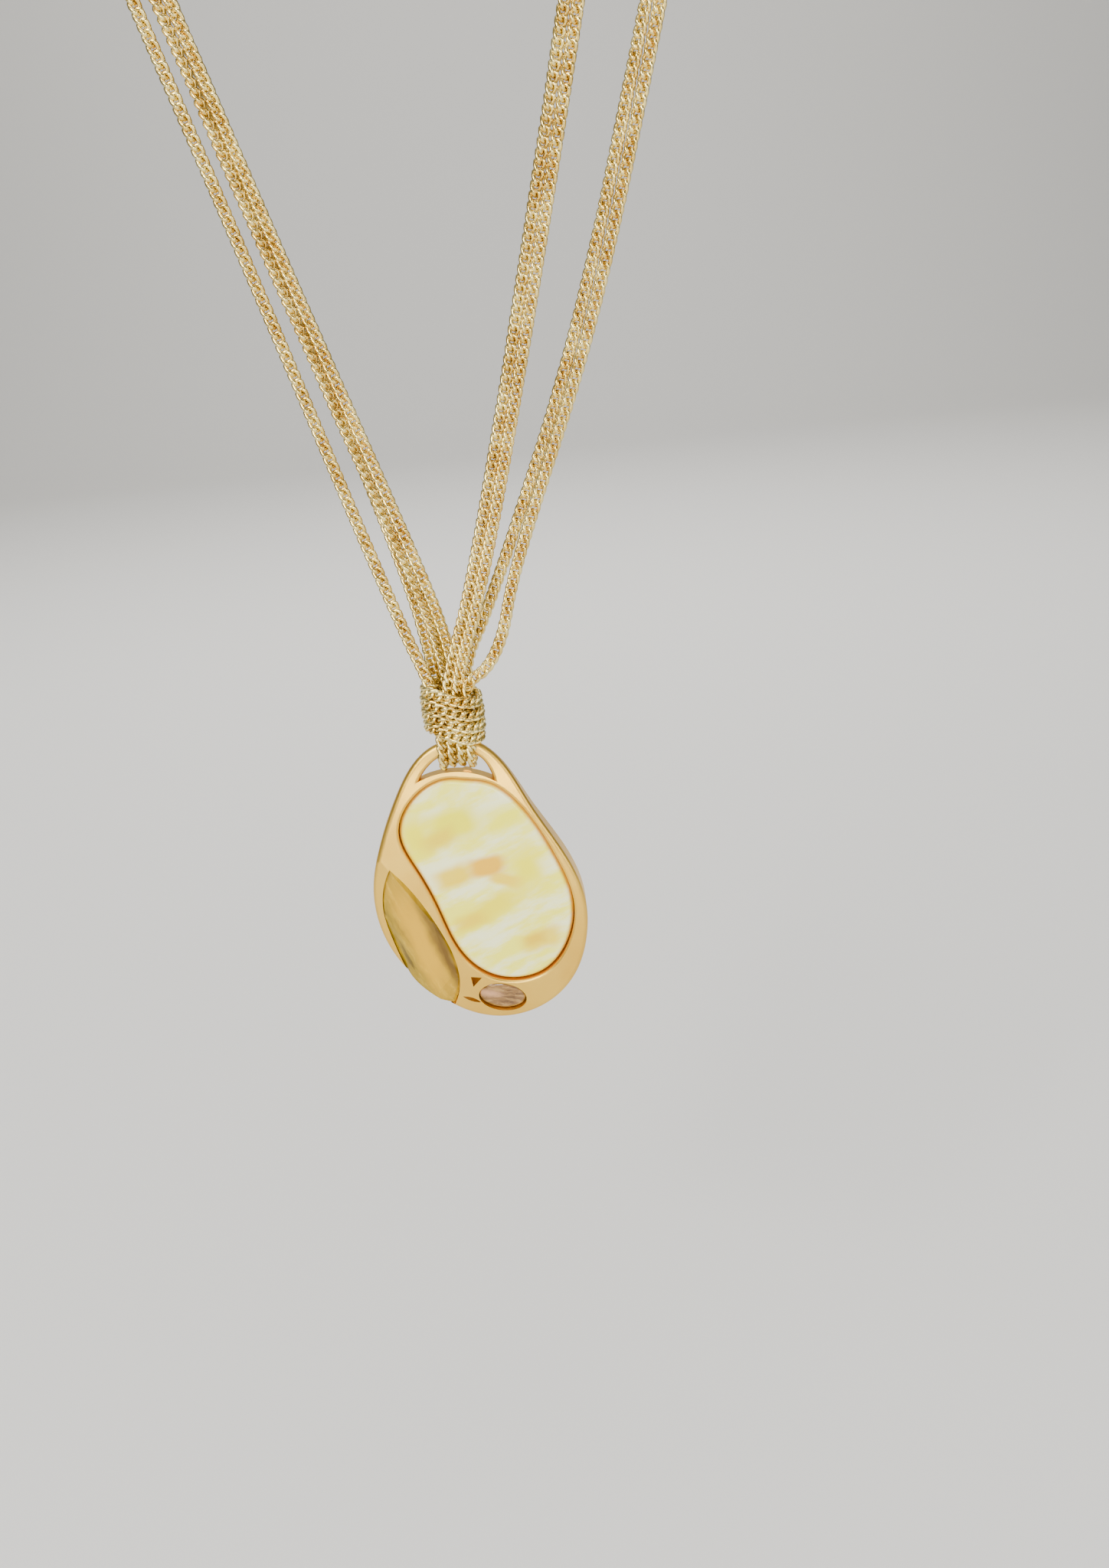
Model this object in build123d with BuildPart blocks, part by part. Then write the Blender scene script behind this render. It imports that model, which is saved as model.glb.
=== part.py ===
from build123d import *
import math
import os

# Pendant necklace: four fine curb chains are folded over the top bar of a cast pendant and bound
# above it by a winding of the same chain, then run up each side of the neck to a lobster clasp
# with an extender chain at the back. Millimetres, +Z up, +X to the wearer's left, front at -Y.
# The origin is the middle of the neck loop, where the neck carries the necklace.

# ---------------------------------------------------------------- driving dimensions
CHAIN_D = 1.3            # round stand-in of one curb chain
LANE = 1.38              # distance between neighbouring chains where they lie packed
NECK_LANE = 1.9          # distance between neighbouring chains round the neck

KNOT_X = -0.45           # the binding and the pendant hang a little to one side
KNOT_Y = -58.0           # axis of the binding, in front of the neck
KNOT_Z = -165.0          # height of the binding's middle
ROW_Y = 2.0              # front and back rows of chains, either side of the binding's axis
WIND_TURNS = 4           # turns of the binding, each one chain wide
WIND_PITCH = 1.89
LOOP_DROP = 0.4          # the outer chains follow the bar's arch and hang lower by this much
WIND_R = 4.45            # outer radius of the binding at its middle turn
WIND_END_R = 4.25        # and at its first and last turn
WIND_BORE_R = 3.62
WIND_LEAD = 0.6          # flare at the mouth of the bore
WIND_GROOVE = 0.3        # depth of the groove between two turns

BAR_Z = -169.9           # axis of the pendant's top bar, on which it swings
BAR_HALF = 0.85          # half the depth of the bar, front to back
EDGE_ROUND = 0.7         # rounding of the cast frame's outer edges
LEAN_ROUND = 0.6         # and of the edge beside the faceted stone
EYE_ROUND = 0.5          # rounding of the bar's lower edges, inside the eye
SHOULDER_DOWN = 6.5      # stations of the side profile, measured down from the bar
MID_DOWN = 18.0
BACK_LOW_DOWN = 30.0
LOW_DOWN = 35.0
FOOT_DOWN = 44.5
FACE_SHOULDER = 1.6      # depth of the front face at those stations, from the top down
FACE_MID = 2.8
FACE_LOW = 2.6
FACE_BOTTOM = 1.3
BACK_MID = 2.1
BACK_BOTTOM = 1.3
SEAT_FLOOR = 0.7         # floor of the main stone's seat, behind the bar's axis
STONE_GAP = 0.06         # clearance round a set stone
SEAT_ROUND = 0.35        # softened edge of that seat
STONE_SUNK = 0.55        # the main stone's edge lies this far below the face
STONE_ROUND = 0.9
MARQUISE_FLOOR = 0.6     # floor of the faceted stone's seat, in front of the bar's axis
OVAL_TILT = 14.0         # the small oval stone leans down
OVAL_SUNK = 0.9          # the middle of its rim, below the face
OVAL_A = 3.7
OVAL_B = 2.5
OVAL_SEAT = 1.5
OVAL_HEIGHT = 1.55       # from its seat's floor to its top
OVAL_ROUND = 0.5

BACK_Y = 50.0            # line of the fastening behind the neck
BACK_Z = 10.0
CAP_MOUTH_X = 20.0
CAP_DEPTH = 5.0          # chains enter the end cap by this much
CAP_BORE_R = 1.8
CAP_WALL = 0.5
EYE_R = 0.95             # inner radius of the ring on an end cap
EYE_WIRE = 0.75
RING_R = 1.3             # jump ring, inner radius
RING_WIRE = 0.7
HOOK_RING_R = 2.1        # first ring of the extender, which the clasp holds
HOOK_RING_WIRE = 0.9
SLACK = 0.06             # play between two linked rings
NOSE_PLAY = 0.18         # and between the clasp's nose and the ring it holds

CLASP_REACH = 9.8        # from the middle of its tail hole to the inside of its nose
CLASP_THICK = 2.0
CLASP_HOLE_R = 0.9
CLASP_ROUND = 0.4
CLASP_SLOT = 1.1         # height of the slot that holds the lever
LEVER_THICK = 0.9
PIN_R = 0.35
PIN_FIT = 0.03
SPRING_WIRE = 0.2

LINK_R = 1.25            # extender link: inner radius of its ends
LINK_STRAIGHT = 2.2      # straight part of its sides
LINK_WIRE = 0.9
LINK_COUNT = 8
DROP_R = 2.4             # polished bead that ends the extender

# ---------------------------------------------------------------- chain routes
# Each chain is named by its two ends. The neck part of a side is one list, on which the chains
# lie side by side; below the collarbone each chain has points of its own.
NECK_LEFT = [(-31.0, 45.5, 9.5), (-43.0, 34.5, 7.5), (-50.5, 20.0, 4.5), (-53.0, 3.5, 0.5),
             (-51.5, -13.0, -4.5), (-47.0, -28.0, -11.5), (-42.5, -40.0, -21.0)]
NECK_INNER = [(31.0, 45.5, 9.5), (43.0, 34.5, 7.5), (50.5, 20.0, 4.5), (53.0, 3.5, 0.5),
              (51.0, -13.0, -4.0), (46.0, -28.0, -10.5), (40.2, -40.2, -20.0)]
NECK_OUTER = [(31.0, 45.5, 9.5), (43.0, 34.5, 7.5), (50.5, 20.0, 4.5), (53.0, 3.5, 0.5),
              (52.6, -13.0, -5.0), (51.0, -28.0, -13.0), (49.5, -40.6, -23.0)]

LEG_A = [(-40.4, -50.9, -35.0), (-22.6, -55.0, -94.0), (-6.6, -57.6, -151.0)]
LEG_B = [(-37.6, -50.2, -35.0), (-19.8, -54.6, -95.0), (-5.0, -56.9, -142.0)]
LEG_C = [(-35.9, -50.2, -35.0), (-18.1, -54.6, -95.0), (-3.4, -56.9, -142.0)]
LEG_D = [(-34.9, -48.6, -35.0), (-19.0, -52.8, -95.0), (-5.2, -54.6, -143.0)]
LEG_E = [(34.0, -52.0, -35.0), (18.9, -55.8, -94.0), (4.9, -58.2, -145.0)]
LEG_F = [(35.9, -52.0, -35.0), (20.6, -55.8, -94.0), (6.5, -58.2, -145.0)]
LEG_G = [(46.0, -50.6, -35.0), (33.4, -53.4, -78.0), (22.2, -55.4, -114.0),
         (11.6, -56.6, -138.5), (5.6, -56.6, -151.5)]
LEG_H = [(47.9, -51.0, -35.0), (35.2, -54.0, -78.0), (24.0, -56.2, -114.0),
         (13.2, -57.6, -138.5), (9.6, -58.2, -147.5), (7.9, -58.9, -154.0),
         (5.2, -59.6, -158.6)]


def neck_run(base, lane):
    """Points round the neck of the chain that lies so many lanes out from the middle."""
    points = []
    for x, y, z in base:
        reach = math.hypot(x, y)
        out = 0.8 * NECK_LANE * lane
        points.append((x + out * x / reach, y + out * y / reach, z - 0.75 * out))
    return points


def cap_run(side, row, level):
    """The straight start of a chain inside its end cap, from the floor of the bore outward."""
    y = BACK_Y + row * LANE / 2
    z = BACK_Z + level * LANE / 2
    floor_x = side * (CAP_MOUTH_X - CAP_DEPTH)
    return [(floor_x, y, z), (side * (CAP_MOUTH_X + 2.5), y, z)]


def half_turn(column):
    """A chain's way through the binding, round under the pendant's bar and up again."""
    x = KNOT_X + (column - 1.5) * LANE
    low = BAR_Z - ROW_Y - (LOOP_DROP if column in (0, 3) else 0)
    return [(x, KNOT_Y - ROW_Y, low), (x, KNOT_Y + ROW_Y, low)]


def leg_end(column, row, above):
    """Where a leg turns down into its place in the binding, above the binding's middle."""
    return [(KNOT_X + (column - 1.5) * LANE, KNOT_Y + row * ROW_Y, KNOT_Z + above)]


def bend_radii(points, tight):
    """Radius for each corner of a route: as large as its two runs allow, or the tight one."""
    radii = []
    for index in range(1, len(points) - 1):
        before = Vector(*points[index]) - Vector(*points[index - 1])
        after = Vector(*points[index + 1]) - Vector(*points[index])
        half = math.radians(before.get_angle(after)) / 2
        radius = 0.45 * min(before.length, after.length) / math.tan(half)
        if index in tight:
            radius = min(radius, tight[index])
        radii.append(radius)
    return radii


FRONT = -1
BACK = 1
chains = {
    "chain_single": (cap_run(-1, 1, -1) + neck_run(NECK_LEFT, 1.5) + LEG_A
                     + leg_end(0, FRONT, 3.8), 0,
                     leg_end(0, BACK, 6.5) + LEG_D[::-1]
                     + neck_run(NECK_LEFT, -1.5)[::-1] + cap_run(-1, -1, 1)[::-1]),
    "chain_inner_left": (cap_run(1, -1, 1) + neck_run(NECK_INNER, -1.5) + LEG_E
                         + leg_end(1, FRONT, 4.5), 1,
                         leg_end(1, BACK, 9.0) + LEG_B[::-1]
                         + neck_run(NECK_LEFT, 0.5)[::-1] + cap_run(-1, 1, 1)[::-1]),
    "chain_inner_right": (cap_run(1, -1, -1) + neck_run(NECK_INNER, -0.5) + LEG_F
                          + leg_end(2, FRONT, 4.5), 2,
                          leg_end(2, BACK, 9.0) + LEG_C[::-1]
                          + neck_run(NECK_LEFT, -0.5)[::-1] + cap_run(-1, -1, -1)[::-1]),
    "chain_outer": (cap_run(1, 1, -1) + neck_run(NECK_OUTER, 1.5) + LEG_H
                    + leg_end(3, FRONT, 4.8), 3,
                    leg_end(3, BACK, 6.2) + LEG_G[::-1]
                    + neck_run(NECK_OUTER, 0.5)[::-1] + cap_run(1, 1, 1)[::-1]),
}

os.makedirs("parts", exist_ok=True)


def save(part, name):
    """Label a finished piece and write it."""
    part.label = name
    export_step(part, f"parts/{name}.step")


# ---------------------------------------------------------------- chains
def make_chain(name, down, column, up):
    """One chain from end cap to end cap, as a round tube along its route."""
    points = down + half_turn(column) + up
    knot_corner = len(down) - 1
    tight = {knot_corner: 5.0, knot_corner + 1: 0.97 * ROW_Y, knot_corner + 2: 0.97 * ROW_Y,
             knot_corner + 3: 5.0}
    radii = bend_radii(points, tight)
    with BuildPart() as chain:
        with BuildLine() as route:
            FilletPolyline(*points, radius=radii)
        with BuildSketch(Plane(origin=route.line @ 0, z_dir=route.line % 0)):
            Circle(CHAIN_D / 2)
        sweep()
    length = sum(edge.length for edge in route.edges())
    expected = math.pi * CHAIN_D ** 2 / 4 * length
    print(f"{name}: length {length:.1f}, volume {chain.part.volume / expected:.4f} of expected")
    print("   radii", " ".join(f"{radius:.1f}" for radius in radii))
    save(chain.part, name)


for chain_name, (chain_down, chain_column, chain_up) in chains.items():
    make_chain(chain_name, chain_down, chain_column, chain_up)


# ---------------------------------------------------------------- binding
knot_front = Plane(origin=(KNOT_X, KNOT_Y, KNOT_Z), x_dir=(1, 0, 0), z_dir=(0, -1, 0))


def make_binding():
    """The winding that binds the chains: a crowned sleeve with a rounded ridge for each turn."""
    half = WIND_TURNS * WIND_PITCH / 2
    ends = WIND_END_R - WIND_GROOVE
    with BuildPart() as binding:
        with BuildSketch(knot_front):
            with BuildLine():
                Polyline((ends, -half), (WIND_BORE_R, -half), (WIND_BORE_R, half - WIND_LEAD),
                         (WIND_BORE_R + WIND_LEAD / 3, half), (ends, half))
                before = ends
                for turn in range(WIND_TURNS):
                    off_middle = 2 * turn / (WIND_TURNS - 1) - 1
                    ridge = WIND_R - (WIND_R - WIND_END_R) * off_middle ** 2
                    after = ridge - WIND_GROOVE if turn < WIND_TURNS - 1 else ends
                    top = half - turn * WIND_PITCH
                    ThreePointArc((before, top), (ridge, top - WIND_PITCH / 2),
                                  (after, top - WIND_PITCH))
                    before = after
            make_face()
        revolve(axis=Axis((KNOT_X, KNOT_Y, 0), (0, 0, 1)))
    save(binding.part, "binding_winding")


make_binding()

# ---------------------------------------------------------------- pendant
# The pendant's outlines are drawn in its own front view, from the middle of its bar. Where a
# third figure follows, it is the distance in front of the bar's axis.
PENDANT_REACH = 20.0     # more than the pendant's width to either side of its bar
pendant_front = Plane(origin=(KNOT_X, KNOT_Y, BAR_Z), x_dir=(1, 0, 0), z_dir=(0, -1, 0))
pendant_side = Plane(origin=(-PENDANT_REACH, KNOT_Y, BAR_Z), x_dir=(0, 1, 0), z_dir=(1, 0, 0))

FRAME_OUTLINE = [(0.0, 1.1), (-5.3, -0.75), (-9.9, -7.0), (-12.9, -13.6), (-14.8, -20.5),
                 (-14.6, -27.1), (-12.1, -33.4), (-8.3, -37.9), (-4.2, -41.7), (2.0, -44.1),
                 (8.9, -42.5), (13.5, -38.1), (16.1, -31.3), (16.4, -24.8), (14.0, -17.4),
                 (9.7, -9.4), (5.4, -1.75)]
STONE_OUTLINE = [(-0.4, -4.6), (-6.3, -6.0), (-9.95, -12.0), (-7.95, -18.2), (-5.45, -25.0),
                 (-2.85, -32.4), (2.05, -37.0), (8.8, -36.9), (13.45, -31.5), (14.65, -25.0),
                 (12.35, -16.9), (7.65, -8.6), (4.05, -5.6)]
STONE_MIDDLE = (2.7, -21.0)
STONE_HALF_WIDTH = 9.0
MARQUISE_INNER = [(-11.9, -17.2), (-8.75, -21.4), (-5.9, -27.0), (-4.05, -32.5), (-3.75, -37.0),
                  (-5.0, -40.9)]
MARQUISE_OUTER = [(-5.0, -40.9), (-7.6, -39.3), (-10.7, -36.0), (-11.95, -32.9), (-13.2, -28.0),
                  (-13.75, -24.2), (-13.0, -19.6), (-11.9, -17.2)]
MARQUISE_MIDDLE = (-9.2, -28.5)
MARQUISE_HALF_WIDTH = 4.0
# Three corners of the sloping face that carries the faceted stone, then of each of its facets:
# table, outer side, two below it, low end and the two bevels of the inner side.
LEAN = ((-11.9, -17.2, 2.8), (-6.0, -38.0, 2.6), (-14.5, -25.0, 1.75))
FACETS = [((-11.5, -19.0, 2.45), (-11.5, -28.0, 2.5), (-5.4, -33.0, 2.35)),
          ((-11.5, -19.0, 2.45), (-11.7, -28.0, 2.5), (-13.8, -25.0, 1.75)),
          ((-13.8, -25.0, 1.75), (-11.7, -28.0, 2.5), (-11.4, -34.1, 1.45)),
          ((-11.2, -30.3, 2.5), (-8.8, -34.7, 2.45), (-10.5, -36.1, 1.5)),
          ((-6.6, -37.6, 2.4), (-3.9, -37.2, 1.8), (-5.0, -40.6, 1.3)),
          ((-11.3, -18.6, 2.4), (-7.0, -26.0, 2.35), (-8.75, -21.4, 2.0)),
          ((-6.9, -26.2, 2.4), (-5.2, -34.0, 2.35), (-4.05, -32.5, 1.75))]
OVAL_AT = (2.45, -40.25)
OVAL_TURN = -18.0
EYE_TOP = [(-6.05, -4.45), (-4.3, -2.35), (-2.2, -1.15), (0.3, -1.0), (2.6, -1.5), (4.2, -3.5),
           (4.75, -5.3)]
EYE_LOW = (0.85, -3.75)  # middle of the eye's lower edge
LUG_R = 1.15             # low lug behind that edge
WINDOW = [(-2.0, -36.1), (-0.3, -36.4), (-1.8, -37.9)]
SLIT = [(-3.6, -39.5), (-2.3, -39.8), (-0.95, -40.9)]
SLIT_BELOW = (-2.5, -40.4)


def drawn_in(points, middle, half_width):
    """An outline brought in towards its middle by the stone's clearance."""
    share = STONE_GAP / half_width
    return [(x + (middle[0] - x) * share, y + (middle[1] - y) * share) for x, y in points]


def facing_plane(corners):
    """The plane through three corners, facing the front."""
    first, second, third = [Vector(KNOT_X + x, KNOT_Y - depth, BAR_Z + z)
                            for x, z, depth in corners]
    normal = (second - first).cross(third - first)
    if normal.Y > 0:
        normal = -normal
    return Plane(origin=first, z_dir=normal)


def tilted_plane(at, depth, tilt):
    """A plane at a point of the front view that leans down by an angle."""
    lean = math.radians(tilt)
    origin = (KNOT_X + at[0], KNOT_Y - depth, BAR_Z + at[1])
    return Plane(origin=origin, x_dir=(1, 0, 0), z_dir=(0, -math.cos(lean), -math.sin(lean)))


oval_plane = tilted_plane(OVAL_AT, FACE_LOW - OVAL_SUNK, OVAL_TILT)


def side_profile(inset):
    """Side view of the pendant, front at negative x, with the front brought in by an amount."""
    with BuildSketch(pendant_side) as profile:
        with BuildLine():
            Spline((-BAR_HALF + inset, 2.5), (-BAR_HALF + inset, -1.5),
                   (-FACE_SHOULDER + inset, -SHOULDER_DOWN), (-FACE_MID + inset, -MID_DOWN),
                   (-FACE_LOW + inset, -LOW_DOWN), (-FACE_BOTTOM + inset, -FOOT_DOWN))
            Line((-FACE_BOTTOM + inset, -FOOT_DOWN), (BACK_BOTTOM, -FOOT_DOWN))
            Spline((BACK_BOTTOM, -FOOT_DOWN), (BACK_MID, -BACK_LOW_DOWN), (BACK_MID, -MID_DOWN),
                   (BAR_HALF, -1.5), (BAR_HALF, 2.5))
            Line((BAR_HALF, 2.5), (-BAR_HALF + inset, 2.5))
        make_face()
    return profile.sketch


def make_frame():
    """The cast frame: outline and side profile crossed, then eye, seats and pierced openings."""
    with BuildPart() as frame:
        with BuildSketch(pendant_front.offset(-5)):
            with BuildLine():
                Spline(*FRAME_OUTLINE, periodic=True)
            make_face()
        extrude(amount=10)
        add(side_profile(0))
        extrude(amount=2 * PENDANT_REACH, dir=(1, 0, 0), mode=Mode.INTERSECT)
        rim = frame.edges().sort_by(SortBy.LENGTH)[-2:]
        fillet(rim, min(EDGE_ROUND, 0.85 * BAR_HALF))
        split(bisect_by=facing_plane(LEAN), keep=Keep.BOTTOM)
        leaning_face = frame.faces().filter_by(GeomType.PLANE).sort_by(SortBy.AREA)[-1]
        fillet(leaning_face.edges().sort_by(Axis.X)[0], LEAN_ROUND)
        with BuildSketch(pendant_front.offset(-5)):
            with BuildLine():
                Spline(*EYE_TOP)
                ThreePointArc(EYE_TOP[-1], EYE_LOW, EYE_TOP[0])
            make_face()
        extrude(amount=10, mode=Mode.SUBTRACT)
        arch = frame.edges(Select.LAST).sort_by(SortBy.LENGTH)[-2:]
        fillet(arch, EYE_ROUND)
        with BuildSketch(pendant_front.offset(BAR_HALF - 0.4)):
            with Locations((EYE_LOW[0], EYE_LOW[1] + 0.15 - LUG_R)):
                Circle(LUG_R)
        extrude(amount=-1.6)
        with BuildSketch(pendant_front.offset(-5)):
            with BuildLine():
                Polyline(*WINDOW, close=True)
            make_face()
            with BuildLine():
                ThreePointArc(*SLIT)
                ThreePointArc(SLIT[-1], SLIT_BELOW, SLIT[0])
            make_face()
        extrude(amount=10, mode=Mode.SUBTRACT)
        with BuildSketch(pendant_front.offset(-SEAT_FLOOR)):
            with BuildLine():
                Spline(*STONE_OUTLINE, periodic=True)
            make_face()
        extrude(amount=5, mode=Mode.SUBTRACT)
        seat_edges = frame.edges(Select.LAST).sort_by(SortBy.LENGTH)[-2:]
        fillet(seat_edges.sort_by(Axis.Y)[0], SEAT_ROUND)
        with BuildSketch(pendant_front.offset(MARQUISE_FLOOR)):
            with BuildLine():
                Spline(*MARQUISE_INNER)
                Spline(*MARQUISE_OUTER)
            make_face()
        extrude(amount=5, mode=Mode.SUBTRACT)
        with BuildSketch(oval_plane):
            Ellipse(OVAL_A, OVAL_B, rotation=OVAL_TURN)
        extrude(amount=-OVAL_SEAT, mode=Mode.SUBTRACT)
        with BuildSketch(oval_plane):
            Ellipse(OVAL_A, OVAL_B, rotation=OVAL_TURN)
        extrude(amount=3, mode=Mode.SUBTRACT)
    save(frame.part, "pendant_frame")


def make_main_stone():
    """The large inlaid stone: its outline crossed with the face's curve, edge rounded over."""
    with BuildPart() as stone:
        with BuildSketch(pendant_front.offset(-SEAT_FLOOR)):
            with BuildLine():
                Spline(*drawn_in(STONE_OUTLINE, STONE_MIDDLE, STONE_HALF_WIDTH), periodic=True)
            make_face()
        extrude(amount=5)
        add(side_profile(STONE_SUNK))
        extrude(amount=2 * PENDANT_REACH, dir=(1, 0, 0), mode=Mode.INTERSECT)
        crown = stone.faces().sort_by(Axis.Y)[0].edges()
        fillet(crown, STONE_ROUND)
    save(stone.part, "main_stone")


def make_marquise():
    """The faceted stone: straight sides in its seat, and a crown cut by one plane per facet."""
    with BuildPart() as stone:
        with BuildSketch(pendant_front.offset(MARQUISE_FLOOR)):
            with BuildLine():
                Spline(*drawn_in(MARQUISE_INNER, MARQUISE_MIDDLE, MARQUISE_HALF_WIDTH))
                Spline(*drawn_in(MARQUISE_OUTER, MARQUISE_MIDDLE, MARQUISE_HALF_WIDTH))
            make_face()
        extrude(amount=5)
        for corners in FACETS:
            split(bisect_by=facing_plane(corners), keep=Keep.BOTTOM)
    save(stone.part, "marquise_stone")


def make_oval():
    """The small oval stone: flat, with a rounded edge, just below its seat's rim."""
    with BuildPart() as stone:
        with BuildSketch(oval_plane.offset(-OVAL_SEAT)):
            Ellipse(OVAL_A - STONE_GAP, OVAL_B - STONE_GAP, rotation=OVAL_TURN)
        extrude(amount=OVAL_HEIGHT)
        crown = stone.faces().sort_by(Axis.Y)[0].edges()
        fillet(crown, OVAL_ROUND)
    save(stone.part, "oval_stone")


make_frame()
make_main_stone()
make_marquise()
make_oval()

# ---------------------------------------------------------------- fastening
# Along the line behind the neck, from left to right: end cap, jump ring, clasp, first ring of the
# extender, jump ring, end cap. Each piece is placed from its neighbour by their inner radii.
LEFT_EYE_X = -(2 * EYE_R + 4 * RING_R + CLASP_HOLE_R + CLASP_REACH + 2 * HOOK_RING_R
               - NOSE_PLAY - 4 * SLACK) / 2
LEFT_RING_X = LEFT_EYE_X + EYE_R + RING_R - SLACK
CLASP_X = LEFT_RING_X + RING_R + CLASP_HOLE_R - SLACK
HOOK_RING_X = CLASP_X + CLASP_REACH + HOOK_RING_R - NOSE_PLAY
RIGHT_RING_X = HOOK_RING_X + HOOK_RING_R + RING_R - SLACK
RIGHT_EYE_X = RIGHT_RING_X + RING_R + EYE_R - SLACK
FLAT = (0, 0, 1)         # axes of a ring that lies flat, or stands along or across the line
ALONG = (0, 1, 0)
ACROSS = (1, 0, 0)


def ring_at(x, z, inner, wire, axis):
    """A closed ring of round wire on the fastening line."""
    with Locations(Plane(origin=(x, BACK_Y, z), z_dir=axis)):
        Torus(inner + wire / 2, wire / 2)


def make_cap(side, eye_x, eye_axis, name):
    """A turned bell that the four chain ends are fixed in, with an eye at its narrow end."""
    outer = CAP_BORE_R + CAP_WALL
    floor = CAP_MOUTH_X - CAP_DEPTH
    neck = abs(eye_x) + EYE_R + EYE_WIRE / 2
    with BuildPart() as cap:
        with BuildSketch(Plane.XY.offset(BACK_Z)):
            with BuildLine():
                Polyline((side * neck, BACK_Y), (side * floor, BACK_Y),
                         (side * floor, BACK_Y + CAP_BORE_R),
                         (side * CAP_MOUTH_X, BACK_Y + CAP_BORE_R),
                         (side * CAP_MOUTH_X, BACK_Y + outer - 0.1))
                ThreePointArc((side * CAP_MOUTH_X, BACK_Y + outer - 0.1),
                              (side * (CAP_MOUTH_X - 0.4), BACK_Y + outer + 0.1),
                              (side * (CAP_MOUTH_X - 0.8), BACK_Y + outer - 0.1))
                Spline((side * (CAP_MOUTH_X - 0.8), BACK_Y + outer - 0.1),
                       (side * (floor + 0.6), BACK_Y + outer - 0.2),
                       (side * (neck + 1.2), BACK_Y + 1.1), (side * neck, BACK_Y + 0.55),
                       tangents=[(-side, 0), (-side, 0)])
                Line((side * neck, BACK_Y + 0.55), (side * neck, BACK_Y))
            make_face()
        revolve(axis=Axis((0, BACK_Y, BACK_Z), (1, 0, 0)))
        ring_at(eye_x, BACK_Z, EYE_R, EYE_WIRE, eye_axis)
    save(cap.part, name)


def make_jump_ring(x, axis, name):
    """A ring that joins an end cap to the clasp or the extender."""
    with BuildPart() as ring:
        ring_at(x, BACK_Z, RING_R, RING_WIRE, axis)
    save(ring.part, name)


make_cap(-1, LEFT_EYE_X, FLAT, "left_end_cap")
make_cap(1, RIGHT_EYE_X, ALONG, "right_end_cap")
make_jump_ring(LEFT_RING_X, ALONG, "left_jump_ring")
make_jump_ring(RIGHT_RING_X, FLAT, "right_jump_ring")

# ---------------------------------------------------------------- clasp
# Drawn flat, from the middle of its tail hole: x towards the nose, y away from the lever.
clasp_plane = Plane(origin=(CLASP_X, BACK_Y, BACK_Z), x_dir=(1, 0, 0), z_dir=(0, 0, 1))
PIVOT = (2.7, -1.2)
GATE_X = CLASP_REACH - 1.25     # where the lever's tip meets the lip of the nose
TAIL_WIRE = 0.75


def make_clasp_body():
    """The claw: tail ring, curved back and nose, open on the lever's side and slotted for it."""
    nose = CLASP_REACH
    with BuildPart() as body:
        with BuildSketch(clasp_plane.offset(-CLASP_THICK / 2)):
            with BuildLine():
                Spline((1.0, 0.8), (2.6, 1.9), (nose - 4.6, 2.85), (nose - 1.6, 2.95),
                       (nose + 1.0, 1.3), (nose + 0.9, -1.2), (nose - 0.5, -2.5),
                       (nose - 3.8, -2.5), (2.6, -2.1), (1.0, -0.8))
                Line((1.0, -0.8), (1.0, 0.8))
            make_face()
            with BuildLine():
                Spline((GATE_X + 0.2, -1.35), (nose - 0.35, -0.95), (nose, 0),
                       (nose - 0.4, 1.2), (nose - 2.6, 1.75), (nose - 4.8, 1.25),
                       (nose - 5.6, 0.0), (nose - 5.5, -1.3))
                Polyline((nose - 5.5, -1.3), (nose - 5.5, -3.4), (GATE_X + 0.1, -3.4),
                         (GATE_X + 0.2, -1.35))
            make_face(mode=Mode.SUBTRACT)
        extrude(amount=CLASP_THICK)
        rims = body.faces().filter_by(Axis.Z).edges()
        fillet(rims.filter_by(lambda edge: edge.length > 5), CLASP_ROUND)
        with BuildSketch(clasp_plane.offset(-CLASP_SLOT / 2)):
            with BuildLine():
                Polyline((1.4, -4.0), (1.4, -1.9), (2.3, 0.35), (nose - 5.2, 0.35),
                         (nose - 5.2, -4.0), close=True)
            make_face()
        extrude(amount=CLASP_SLOT, mode=Mode.SUBTRACT)
        with Locations(clasp_plane):
            with Locations(PIVOT):
                Cylinder(PIN_R, 2 * CLASP_THICK, mode=Mode.SUBTRACT)
        with Locations(clasp_plane):
            Torus(CLASP_HOLE_R + TAIL_WIRE / 2, TAIL_WIRE / 2)
    save(body.part, "clasp_body")


def make_clasp_lever():
    """The sprung gate: a bar from its pivot to the nose, with a thumb tab behind the pivot."""
    with BuildPart() as lever:
        with BuildSketch(clasp_plane.offset(-LEVER_THICK / 2)):
            with BuildLine():
                Spline((GATE_X - 0.05, -1.5), (GATE_X - 2.5, -1.35), (3.6, -0.6), (2.6, -0.45),
                       (1.95, -1.3))
                Spline((1.95, -1.3), (1.2, -2.9), (0.6, -3.9), (1.4, -4.3), (2.6, -3.1),
                       (4.6, -2.45), (GATE_X - 0.05, -2.5))
                Line((GATE_X - 0.05, -2.5), (GATE_X - 0.05, -1.5))
            make_face()
            with Locations(PIVOT):
                Circle(PIN_R + PIN_FIT, mode=Mode.SUBTRACT)
        extrude(amount=LEVER_THICK)
    save(lever.part, "clasp_lever")


def make_clasp_pin():
    """The rivet the lever turns on, flush with both faces of the claw."""
    with BuildPart() as pin:
        with Locations(clasp_plane):
            with Locations(PIVOT):
                Cylinder(PIN_R, CLASP_THICK)
    save(pin.part, "clasp_pin")


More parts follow.
